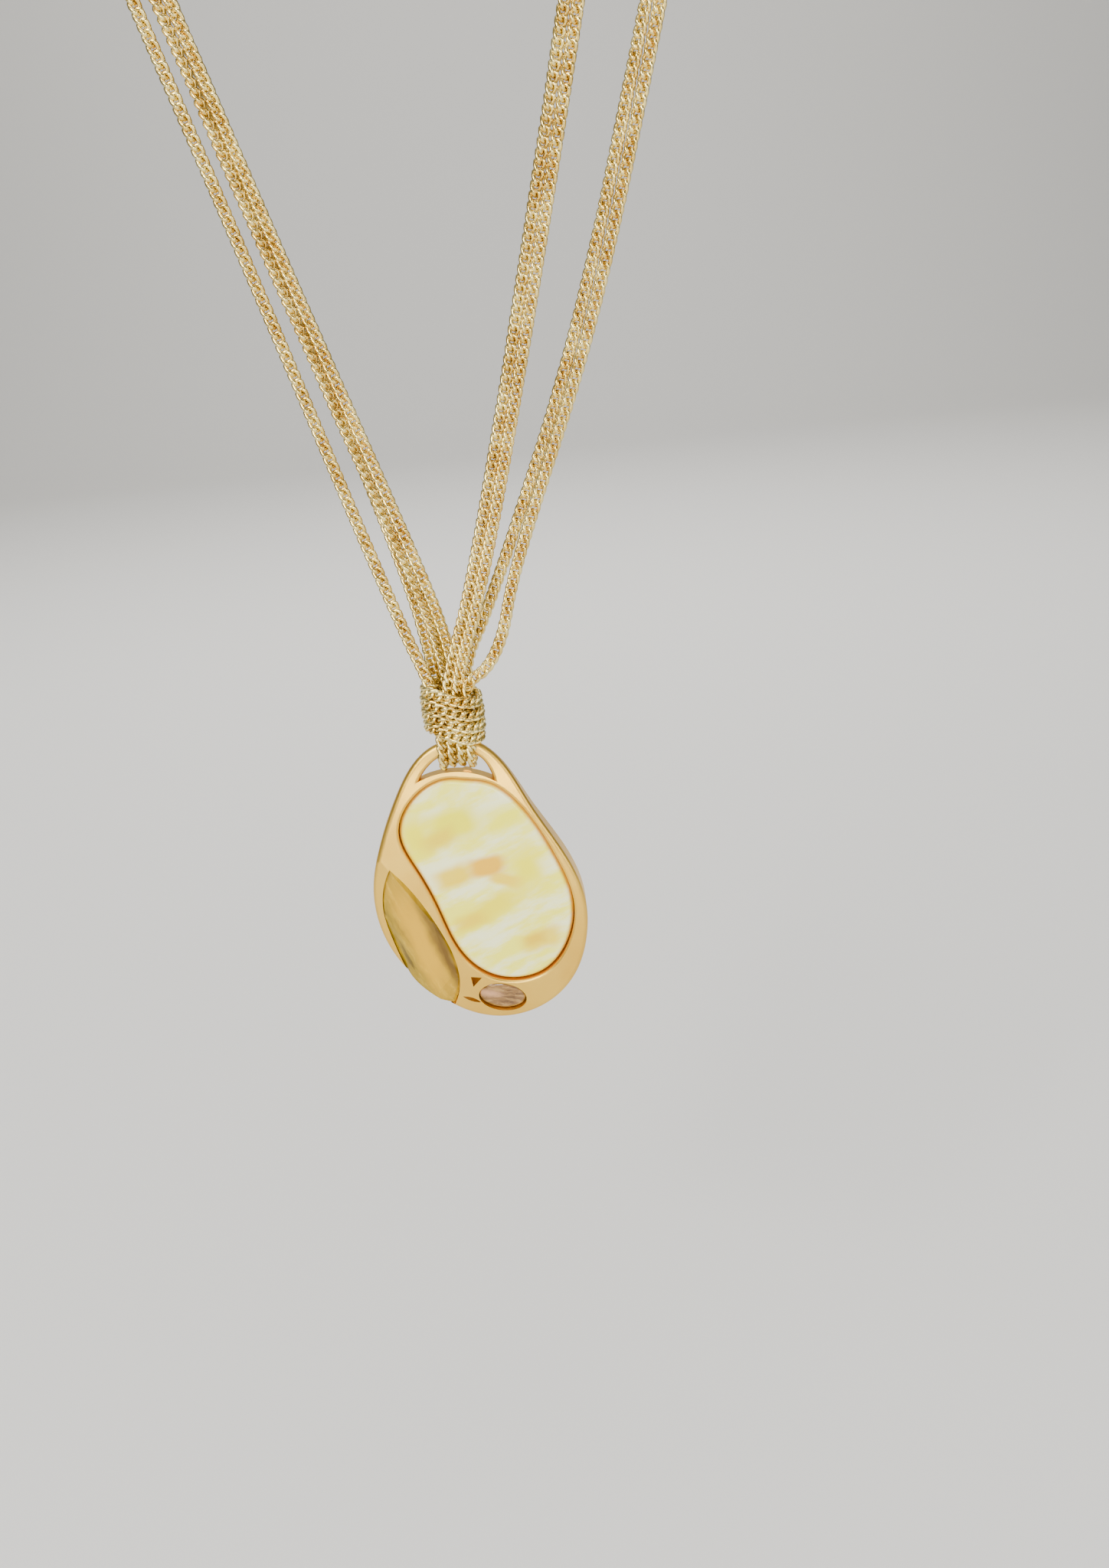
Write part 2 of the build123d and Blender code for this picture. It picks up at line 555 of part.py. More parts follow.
def make_clasp_spring():
    """The bent wire in the slot that pushes the lever shut."""
    with BuildPart() as spring:
        with BuildLine(clasp_plane) as bend:
            ThreePointArc((2.5, 0.24), (3.5, 0.18), (4.25, -0.3))
        with BuildSketch(Plane(origin=bend.line @ 0, z_dir=bend.line % 0)):
            Circle(SPRING_WIRE / 2)
        sweep()
    save(spring.part, "clasp_spring")


make_clasp_body()
make_clasp_lever()
make_clasp_pin()
make_clasp_spring()

# ---------------------------------------------------------------- extender
LINK_INSIDE = 2 * LINK_R + LINK_STRAIGHT
FIRST_LINK_Z = BACK_Z - HOOK_RING_R - LINK_INSIDE / 2 + SLACK


def make_hook_ring():
    """The extender's first ring, which the clasp's nose is hooked through."""
    with BuildPart() as ring:
        ring_at(HOOK_RING_X, BACK_Z, HOOK_RING_R, HOOK_RING_WIRE, ALONG)
    save(ring.part, "extender_hook_ring")


def make_link(number):
    """One oval link of round wire; every second one is turned a quarter."""
    z = FIRST_LINK_Z - number * (LINK_INSIDE - SLACK)
    across = number % 2 == 0
    x_dir = (0, 1, 0) if across else (1, 0, 0)
    z_dir = (1, 0, 0) if across else (0, -1, 0)
    middle = LINK_R + LINK_WIRE / 2
    half = LINK_STRAIGHT / 2
    with BuildPart() as link:
        with BuildLine(Plane(origin=(HOOK_RING_X, BACK_Y, z), x_dir=x_dir, z_dir=z_dir)) as loop:
            Line((middle, -half), (middle, half))
            ThreePointArc((middle, half), (0, half + middle), (-middle, half))
            Line((-middle, half), (-middle, -half))
            ThreePointArc((-middle, -half), (0, -half - middle), (middle, -half))
        with BuildSketch(Plane(origin=loop.line @ 0, z_dir=loop.line % 0)):
            Circle(LINK_WIRE / 2)
        sweep()
    save(link.part, f"extender_link_{number + 1}")


def make_drop():
    """The polished bead at the end, turned in one piece with its neck and ring."""
    z = FIRST_LINK_Z - (LINK_COUNT - 0.5) * (LINK_INSIDE - SLACK) - EYE_R + SLACK / 2
    neck = z - EYE_R - EYE_WIRE / 2
    with BuildPart() as drop:
        ring_at(HOOK_RING_X, z, EYE_R, EYE_WIRE, ACROSS)
        with BuildSketch(Plane(origin=(HOOK_RING_X, BACK_Y, 0), x_dir=ACROSS, z_dir=(0, -1, 0))):
            with BuildLine():
                Line((0, neck), (0.5, neck))
                Bezier((0.5, neck), (0.6, neck - 1.8), (DROP_R, neck - 2.2),
                       (DROP_R, neck - 5.0))
                ThreePointArc((DROP_R, neck - 5.0),
                              (DROP_R * math.sqrt(0.5), neck - 5.0 - DROP_R * math.sqrt(0.5)),
                              (0, neck - 5.0 - DROP_R))
                Line((0, neck - 5.0 - DROP_R), (0, neck))
            make_face()
        revolve(axis=Axis((HOOK_RING_X, BACK_Y, 0), (0, 0, 1)))
    save(drop.part, "end_drop")


make_hook_ring()
for link_number in range(LINK_COUNT):
    make_link(link_number)
make_drop()
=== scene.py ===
"""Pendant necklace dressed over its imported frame.

The four curb chains and the binding wound from a fifth length are drawn link by link along the
routes of the solids. The cast frame, the inlaid stones and the fastening keep their solids and
get their own finishes.
"""

from __future__ import annotations

import logging
import math
from dataclasses import dataclass, field
from enum import Enum

import bmesh
import bpy
from mathutils import Matrix, Vector

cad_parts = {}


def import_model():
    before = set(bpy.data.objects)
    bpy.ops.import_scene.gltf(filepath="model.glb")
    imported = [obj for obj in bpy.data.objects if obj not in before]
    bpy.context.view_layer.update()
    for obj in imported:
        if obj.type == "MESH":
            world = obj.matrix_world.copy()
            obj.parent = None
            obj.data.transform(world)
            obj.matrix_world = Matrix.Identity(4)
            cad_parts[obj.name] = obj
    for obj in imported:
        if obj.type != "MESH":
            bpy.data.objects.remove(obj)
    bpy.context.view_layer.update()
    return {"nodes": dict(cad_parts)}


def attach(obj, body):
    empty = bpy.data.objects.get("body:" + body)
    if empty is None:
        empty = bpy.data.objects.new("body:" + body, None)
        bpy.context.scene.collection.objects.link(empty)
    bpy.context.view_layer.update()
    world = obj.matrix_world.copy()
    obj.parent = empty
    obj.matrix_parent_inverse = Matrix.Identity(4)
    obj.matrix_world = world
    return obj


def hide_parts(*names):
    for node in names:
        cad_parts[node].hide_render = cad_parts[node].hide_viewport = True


log = logging.getLogger("necklace")
MM = 0.001
BAR_MIDDLE = (-0.45, -169.9)  # x and z of the pendant's bar, in millimetres
# the Mix node's colour sockets, whose names its sockets for other values share
MIX_UNDER, MIX_OVER, MIX_RESULT = 6, 7, 2


# ---------------------------------------------------------------- colours and nodes
def linear(hex_code: str) -> tuple[float, float, float, float]:
    """Turn an sRGB colour into Blender's linear one.

    Args:
        hex_code: Six hexadecimal digits, red first.

    Returns:
        Linear red, green and blue, and an alpha of 1.
    """
    channels = [int(hex_code[i:i + 2], 16) / 255 for i in (0, 2, 4)]
    straight = [c / 12.92 if c <= 0.04045 else ((c + 0.055) / 1.055) ** 2.4 for c in channels]
    return (straight[0], straight[1], straight[2], 1.0)


def add_node(material: bpy.types.Material, kind: str, settings: dict | None = None,
             links: dict | None = None) -> bpy.types.Node:
    """Add one shader node with its settings and its incoming links.

    Args:
        material: The material whose tree gets the node.
        kind: The node's type name.
        settings: Attribute names and values, or input names and values.
        links: Input names or numbers, each with the output socket that feeds it.

    Returns:
        The new node.
    """
    tree = material.node_tree
    node = tree.nodes.new(kind)
    for name, value in (settings or {}).items():
        if isinstance(name, str) and hasattr(node, name):
            setattr(node, name, value)
        else:
            node.inputs[name].default_value = value
    for name, socket in (links or {}).items():
        tree.links.new(socket, node.inputs[name])
    return node


def ramp(material: bpy.types.Material, fac: bpy.types.NodeSocket,
         stops: list[tuple[float, str]]) -> bpy.types.NodeSocket:
    """Add a colour ramp that eases between the given stops.

    Args:
        material: The material whose tree gets the ramp.
        fac: The value that runs along it.
        stops: Places from 0 to 1 with their sRGB colours.

    Returns:
        The ramp's colour output.
    """
    node = add_node(material, "ShaderNodeValToRGB", links={"Fac": fac})
    node.color_ramp.interpolation = "EASE"
    elements = node.color_ramp.elements
    while len(elements) < len(stops):
        elements.new(0.5)
    for element, (place, code) in zip(elements, stops):
        element.position = place
        element.color = linear(code)
    return node.outputs["Color"]


def new_material(name: str) -> tuple[bpy.types.Material, bpy.types.Node]:
    """Make an empty node material with a Principled shader.

    Args:
        name: The material's name.

    Returns:
        The material and its Principled node.
    """
    material = bpy.data.materials.new(name)
    material.use_nodes = True
    material.node_tree.nodes.clear()
    shader = add_node(material, "ShaderNodeBsdfPrincipled")
    add_node(material, "ShaderNodeOutputMaterial", links={"Surface": shader.outputs["BSDF"]})
    return material, shader


# ---------------------------------------------------------------- finishes
@dataclass(frozen=True)
class PlatedMetal:
    """Gold plate over brass: cloudy tone, fine polishing marks and soft micro-roughness."""

    name: str
    bright: str
    deep: str
    roughness: float
    cloud_mm: float
    grain_mm: float
    grain: float

    def build(self) -> bpy.types.Material:
        """Make the material.

        Returns:
            The new material.
        """
        # plated and tumbled: a warm metal whose tone and gloss drift slowly over the surface,
        # with marks too fine to see singly that only soften its highlights
        material, shader = new_material(self.name)
        shader.inputs["Metallic"].default_value = 1.0
        place = add_node(material, "ShaderNodeTexCoord").outputs["Object"]
        cloud = add_node(material, "ShaderNodeTexNoise",
                         {"Scale": 1 / (self.cloud_mm * MM), "Detail": 3.0, "Roughness": 0.55},
                         {"Vector": place}).outputs["Fac"]
        tone = ramp(material, cloud, [(0.32, self.deep), (0.68, self.bright)])
        material.node_tree.links.new(tone, shader.inputs["Base Color"])
        fine = add_node(material, "ShaderNodeTexNoise",
                        {"Scale": 1 / (self.grain_mm * MM), "Detail": 2.0},
                        {"Vector": place}).outputs["Fac"]
        rough = add_node(material, "ShaderNodeMapRange",
                         {"To Min": self.roughness * 0.75, "To Max": self.roughness * 1.3},
                         {"Value": cloud}).outputs["Result"]
        material.node_tree.links.new(rough, shader.inputs["Roughness"])
        bump = add_node(material, "ShaderNodeBump",
                        {"Strength": self.grain, "Distance": 0.02 * MM},
                        {"Height": fine}).outputs["Normal"]
        material.node_tree.links.new(bump, shader.inputs["Normal"])
        return material


@dataclass(frozen=True)
class Patch:
    """A soft-edged patch of colour in a stone, in millimetres from the bar's middle."""

    at: tuple[float, float]
    half: tuple[float, float]
    turn_deg: float
    soft: float
    colour: str
    share: float = 1.0

    def mask(self, material: bpy.types.Material, place: bpy.types.NodeSocket,
             origin: tuple[float, float]) -> bpy.types.NodeSocket:
        """Add the nodes that tell how far a point lies inside the patch.

        Args:
            material: The material whose tree gets the nodes.
            place: The point's coordinates in metres.
            origin: The bar's middle, x and z in millimetres.

        Returns:
            A value from 0 outside to the patch's share inside.
        """
        centre = ((origin[0] + self.at[0]) * MM, 0.0, (origin[1] + self.at[1]) * MM)
        local = add_node(material, "ShaderNodeMapping",
                         {"vector_type": "TEXTURE", "Location": centre,
                          "Rotation": (0.0, -math.radians(self.turn_deg), 0.0),
                          "Scale": (self.half[0] * MM, 1.0, self.half[1] * MM)},
                         {"Vector": place}).outputs["Vector"]
        squared = add_node(material, "ShaderNodeVectorMath", {"operation": "MULTIPLY"},
                           {0: local, 1: local}).outputs["Vector"]
        fourth = add_node(material, "ShaderNodeVectorMath", {"operation": "MULTIPLY"},
                          {0: squared, 1: squared}).outputs["Vector"]
        total = add_node(material, "ShaderNodeVectorMath",
                         {"operation": "DOT_PRODUCT", 1: (1.0, 0.0, 1.0)},
                         {0: fourth}).outputs["Value"]
        reach = add_node(material, "ShaderNodeMath", {"operation": "POWER", 1: 0.25},
                         {0: total}).outputs["Value"]
        return add_node(material, "ShaderNodeMapRange",
                        {"interpolation_type": "SMOOTHSTEP", "From Min": 1.0 - self.soft,
                         "From Max": 1.0 + self.soft, "To Min": self.share, "To Max": 0.0},
                        {"Value": reach}).outputs["Result"]


def blend(material: bpy.types.Material, factor: bpy.types.NodeSocket,
          under: bpy.types.NodeSocket, code: str) -> bpy.types.NodeSocket:
    """Lay one colour over another by a mask.

    Args:
        material: The material whose tree gets the mix.
        factor: The mask.
        under: The colour below.
        code: The sRGB colour laid over it.

    Returns:
        The mixed colour.
    """
    node = add_node(material, "ShaderNodeMix", {"data_type": "RGBA"}, {"Factor": factor})
    material.node_tree.links.new(under, node.inputs[MIX_UNDER])
    node.inputs[MIX_OVER].default_value = linear(code)
    return node.outputs[MIX_RESULT]


def warped(material: bpy.types.Material, size_mm: float, amount_mm: float,
           ) -> bpy.types.NodeSocket:
    """Object coordinates with a little natural waviness.

    Args:
        material: The material whose tree gets the nodes.
        size_mm: Size of the waves.
        amount_mm: How far they move a point.

    Returns:
        The wavy coordinates.
    """
    place = add_node(material, "ShaderNodeTexCoord").outputs["Object"]
    waves = add_node(material, "ShaderNodeTexNoise",
                     {"Scale": 1 / (size_mm * MM), "Detail": 2.0},
                     {"Vector": place}).outputs["Color"]
    centred = add_node(material, "ShaderNodeVectorMath",
                       {"operation": "SUBTRACT", 1: (0.5, 0.5, 0.5)},
                       {0: waves}).outputs["Vector"]
    moved = add_node(material, "ShaderNodeVectorMath",
                     {"operation": "MULTIPLY_ADD", 1: (2 * amount_mm * MM,) * 3},
                     {0: centred, 2: place})
    return moved.outputs["Vector"]


def drawn_out(material: bpy.types.Material, place: bpy.types.NodeSocket, turn_deg: float,
              long_mm: float, short_mm: float) -> bpy.types.NodeSocket:
    """Noise drawn out along one direction of the front view, as grain and growth lines are.

    Args:
        material: The material whose tree gets the nodes.
        place: Coordinates in metres.
        turn_deg: Direction of the lines, up from the horizontal.
        long_mm: Size along them.
        short_mm: Size across them.

    Returns:
        The noise value.
    """
    along = add_node(material, "ShaderNodeMapping",
                     {"vector_type": "TEXTURE",
                      "Rotation": (0.0, -math.radians(turn_deg), 0.0),
                      "Scale": (long_mm * MM, short_mm * MM, short_mm * MM)},
                     {"Vector": place}).outputs["Vector"]
    return add_node(material, "ShaderNodeTexNoise",
                    {"Scale": 1.0, "Detail": 4.0, "Roughness": 0.6},
                    {"Vector": along}).outputs["Fac"]


@dataclass(frozen=True)
class MotherOfPearl:
    """Polished shell: cream layers with clouds of yellow and amber under a glossy surface."""

    name: str = "polished_mother_of_pearl"
    origin: tuple[float, float] = BAR_MIDDLE
    pale: str = "FFFFC4"
    cream: str = "FFF850"
    # painted shade: the browner rim where the stone rolls down into its seat
    edge: str = "D89A20"
    patches: tuple[Patch, ...] = (
        Patch((-7.6, -13.0), (2.1, 3.3), 15, 0.7, "FCF000", 1.0),
        Patch((-1.9, -11.5), (3.7, 2.4), 14, 0.5, "F8EE00", 1.0),
        Patch((-4.3, -13.5), (2.1, 1.2), 20, 0.8, "F0CC00", 0.85),
        Patch((6.0, -11.2), (3.2, 1.6), 10, 0.9, "FCF420", 0.9),
        Patch((8.0, -19.2), (2.5, 3.4), 10, 0.8, "FCF000", 1.0),
        Patch((-2.6, -19.4), (2.8, 1.5), 18, 0.5, "F6D000", 0.95),
        Patch((4.6, -20.5), (2.4, 1.0), -20, 0.5, "FAD200", 0.9),
        Patch((2.4, -18.2), (2.6, 1.4), 4, 0.38, "F2B600", 1.0),
        Patch((1.9, -25.3), (5.2, 1.4), 28, 0.6, "FAE800", 1.0),
        Patch((-0.9, -26.8), (2.0, 0.9), 15, 0.8, "F4D000", 0.85),
        Patch((9.4, -30.9), (3.0, 1.5), 14, 0.5, "F8D600", 0.9),
        Patch((8.4, -30.9), (1.4, 0.7), 10, 0.7, "ECC200", 0.9),
    )

    def build(self) -> bpy.types.Material:
        """Make the material.

        Returns:
            The new material.
        """
        # ground and polished shell: slanting growth layers under a clear gloss, with clouds of
        # yellow and amber, and painted shade: a browner rim where the edge rolls down into its
        # seat, told by the way the surface faces
        material, shader = new_material(self.name)
        place = warped(material, 5.0, 0.7)
        layers = drawn_out(material, place, 22.0, 9.0, 2.6)
        colour = ramp(material, layers, [(0.38, self.pale), (0.62, self.cream)])
        for patch in self.patches:
            inside = patch.mask(material, place, self.origin)
            colour = blend(material, inside, colour, patch.colour)
        # painted shade on the rim, stronger the further the surface turns from the front
        facing = add_node(material, "ShaderNodeTexCoord").outputs["Normal"]
        depth = add_node(material, "ShaderNodeSeparateXYZ", links={"Vector": facing}).outputs["Y"]
        rolled = add_node(material, "ShaderNodeMapRange",
                          {"From Min": -0.99, "From Max": -0.7, "To Min": 0.0, "To Max": 0.9},
                          {"Value": depth}).outputs["Result"]
        colour = blend(material, rolled, colour, self.edge)
        material.node_tree.links.new(colour, shader.inputs["Base Color"])
        shader.inputs["Roughness"].default_value = 0.22
        shader.inputs["Specular IOR Level"].default_value = 0.35
        shader.inputs["Coat Weight"].default_value = 0.12
        shader.inputs["Coat Roughness"].default_value = 0.05
        return material


@dataclass(frozen=True)
class HoneyGlass:
    """Faceted honey-coloured glass: golden in the middle, paler and browner at its sides, with
    painted shade along one side.
    """

    name: str = "cut_honey_glass"
    origin: tuple[float, float] = BAR_MIDDLE
    middle: Patch = Patch((-8.7, -29.5), (9.0, 1.7), -73.0, 0.7, "D6A200", 1.0)
    # painted shade: a dark wedge along one side of the stone
    painted_shade: Patch = Patch((-5.2, -32.5), (9.0, 0.7), -72.0, 0.9, "5E3E04", 0.85)

    def build(self) -> bpy.types.Material:
        """Make the material.

        Returns:
            The new material.
        """
        # cut and polished glass: sharp glints on flat facets, a golden core, and painted shade as
        # a dark wedge along one side
        material, shader = new_material(self.name)
        place = warped(material, 3.0, 0.5)
        streaks = drawn_out(material, place, -68.0, 7.0, 1.1)
        colour = ramp(material, streaks, [(0.3, "665002"), (0.5, "9E800C"), (0.7, "D2AE34")])
        for patch in (self.middle, self.painted_shade):
            inside = patch.mask(material, place, self.origin)
            colour = blend(material, inside, colour, patch.colour)
        material.node_tree.links.new(colour, shader.inputs["Base Color"])
        shader.inputs["Roughness"].default_value = 0.08
        shader.inputs["IOR"].default_value = 1.52
        shader.inputs["Specular IOR Level"].default_value = 0.35
        shader.inputs["Coat Weight"].default_value = 0.15
        shader.inputs["Coat Roughness"].default_value = 0.03
        return material


@dataclass(frozen=True)
class SmokyShell:
    """Brown-grey shell with a painted rosy highlight and fine growth lines, polished."""

    name: str = "polished_smoky_shell"
    origin: tuple[float, float] = BAR_MIDDLE
    # painted highlight: a rosy glint across the middle of the stone
    painted_glint: Patch = Patch((0.6, -39.5), (1.5, 0.5), -20.0, 0.9, "D8A070", 0.8)

    def build(self) -> bpy.types.Material:
        """Make the material.

        Returns:
            The new material.
        """
        # domed and polished shell: fine growth lines, drawn coarser than real so that they
        # show, and a painted rosy highlight across the middle
        material, shader = new_material(self.name)
        place = warped(material, 1.6, 0.5)
        lines = drawn_out(material, place, -18.0, 3.0, 0.5)
        colour = ramp(material, lines, [(0.35, "5C3C10"), (0.5, "845C26"), (0.65, "AA8244")])
        inside = self.painted_glint.mask(material, place, self.origin)
        colour = blend(material, inside, colour, self.painted_glint.colour)
        material.node_tree.links.new(colour, shader.inputs["Base Color"])
        shader.inputs["Roughness"].default_value = 0.2
        shader.inputs["Coat Weight"].default_value = 0.5
        shader.inputs["Coat Roughness"].default_value = 0.05
        return material


# ---------------------------------------------------------------- paths
Point = tuple[float, float, float]


def spline_points(name: str, route: list[Point], spacing: float) -> list[Vector]:
    """Follow a route on one smooth spline.

    Args:
        name: A name for the short-lived curve.
        route: Control points in metres.
        spacing: Distance between the points returned, in metres.

    Returns:
        Points along the spline, evenly spaced, with both ends.
    """
    curve = bpy.data.curves.new(name, "CURVE")
    curve.dimensions = "3D"
    spline = curve.splines.new("NURBS")
    spline.points.add(len(route) - 1)
    for point, place in zip(spline.points, route):
        point.co = (*place, 1.0)
    spline.order_u = 3
    spline.use_endpoint_u = True
    spline.resolution_u = 24
    carrier = bpy.data.objects.new(name, curve)
    mesh = bpy.data.meshes.new_from_object(carrier)
    line = [vertex.co.copy() for vertex in mesh.vertices]
    bpy.data.objects.remove(carrier)
    bpy.data.curves.remove(curve)
    bpy.data.meshes.remove(mesh)
    return evenly(line, spacing)


def evenly(line: list[Vector], spacing: float) -> list[Vector]:
    """Space points evenly along a polyline.

    Args:
        line: The polyline's points.
        spacing: The wanted distance, rounded so that a whole number fits.

    Returns:
        Evenly spaced points, the first and last among them.
    """
    lengths = [0.0]
    for before, after in zip(line, line[1:]):
        lengths.append(lengths[-1] + (after - before).length)
    count = max(2, round(lengths[-1] / spacing))
    points = []
    index = 0
    for step in range(count + 1):
        target = lengths[-1] * step / count
        while index < len(lengths) - 2 and lengths[index + 1] < target:
            index += 1
        span = lengths[index + 1] - lengths[index]
        share = (target - lengths[index]) / span if span else 0.0
        points.append(line[index].lerp(line[index + 1], share))
    return points


def new_piece(name: str, mesh_data: bmesh.types.BMesh, material: bpy.types.Material,
              ) -> bpy.types.Object:
    """Turn a finished bmesh into a smooth-shaded object at the origin.

    Args:
        name: The piece's name.
        mesh_data: The shape, freed afterwards.
        material: Its finish.

    Returns:
        The new object, linked to the scene.
    """
    mesh = bpy.data.meshes.new(name)
    for face in mesh_data.faces:
        face.smooth = True
    mesh_data.to_mesh(mesh)
    mesh_data.free()
    mesh.materials.append(material)
    piece = bpy.data.objects.new(name, mesh)
    bpy.context.scene.collection.objects.link(piece)
    log.info("%s: %d faces", name, len(mesh.polygons))
    return piece


# ---------------------------------------------------------------- curb chain
@dataclass
class CurbLink:
    """One twisted oval link of the curb chain."""

    pitch: float = 1.27 * MM
    width: float = 1.85 * MM
    wire: float = 0.63 * MM
    twist: float = -0.31 * MM
    around: int = 12
    section: int = 6

    def build(self) -> bpy.types.Mesh:
        """Make one link.

        Returns:
            Its mesh, long along X, flat in XY and centred on the origin.
        """
        # a round ring of radius 1 first, then drawn in to the oval and twisted
        shape = bmesh.new()
        bmesh.ops.create_circle(shape, segments=self.section, radius=self.wire / 2,
                                matrix=Matrix.Translation((1.0, 0, 0))
                                @ Matrix.Rotation(math.pi / 2, 4, "X"))
        bmesh.ops.spin(shape, geom=shape.verts[:] + shape.edges[:], cent=(0, 0, 0),
                       axis=(0, 0, 1), angle=2 * math.pi, steps=self.around, use_merge=True)
        long = (self.pitch + self.wire) / 2
        wide = (self.width - self.wire) / 2
        for vertex in shape.verts:
            turn = math.atan2(vertex.co.y, vertex.co.x)
            out = math.hypot(vertex.co.x, vertex.co.y) - 1.0
            vertex.co.x = (long + out) * math.cos(turn)
            vertex.co.y = (wide + out) * math.sin(turn)
            vertex.co.z += self.twist * math.sin(2 * turn)
        bmesh.ops.recalc_face_normals(shape, faces=shape.faces)
        mesh = bpy.data.meshes.new("curb_link_pattern")
        shape.to_mesh(mesh)
        shape.free()
        return mesh


@dataclass
class Strand:
    """A chain as placed: where its links' middles lie and which way their flat sides face."""

    points: list[Vector]
    facing: list[Vector]


def lay_links(name: str, link: bpy.types.Mesh, strand: Strand, material: bpy.types.Material,
              ) -> bpy.types.Object:
    """Set one link on each step of a strand.

    Args:
        name: The new piece's name.
        link: The link's mesh.
        strand: Points one pitch apart, with the direction each link's flat side faces.
        material: The chain's finish.

    Returns:
        The chain as one object.
    """
    shape = bmesh.new()
    count = len(strand.points)
    for index in range(count):
        before = strand.points[max(index - 1, 0)]
        after = strand.points[min(index + 1, count - 1)]
        along = (after - before).normalized()
        normal = strand.facing[index]
        normal = (normal - along * normal.dot(along)).normalized()
        side = normal.cross(along)
        place = Matrix((along, side, normal)).transposed().to_4x4()
        place.translation = strand.points[index]
        start = len(shape.verts)
        shape.from_mesh(link)
        shape.verts.ensure_lookup_table()
        bmesh.ops.transform(shape, matrix=place, verts=shape.verts[start:])
    return new_piece(name, shape, material)


class Side(Enum):
    """A side of the necklace as seen from the front."""

    LEFT = -1
    RIGHT = 1


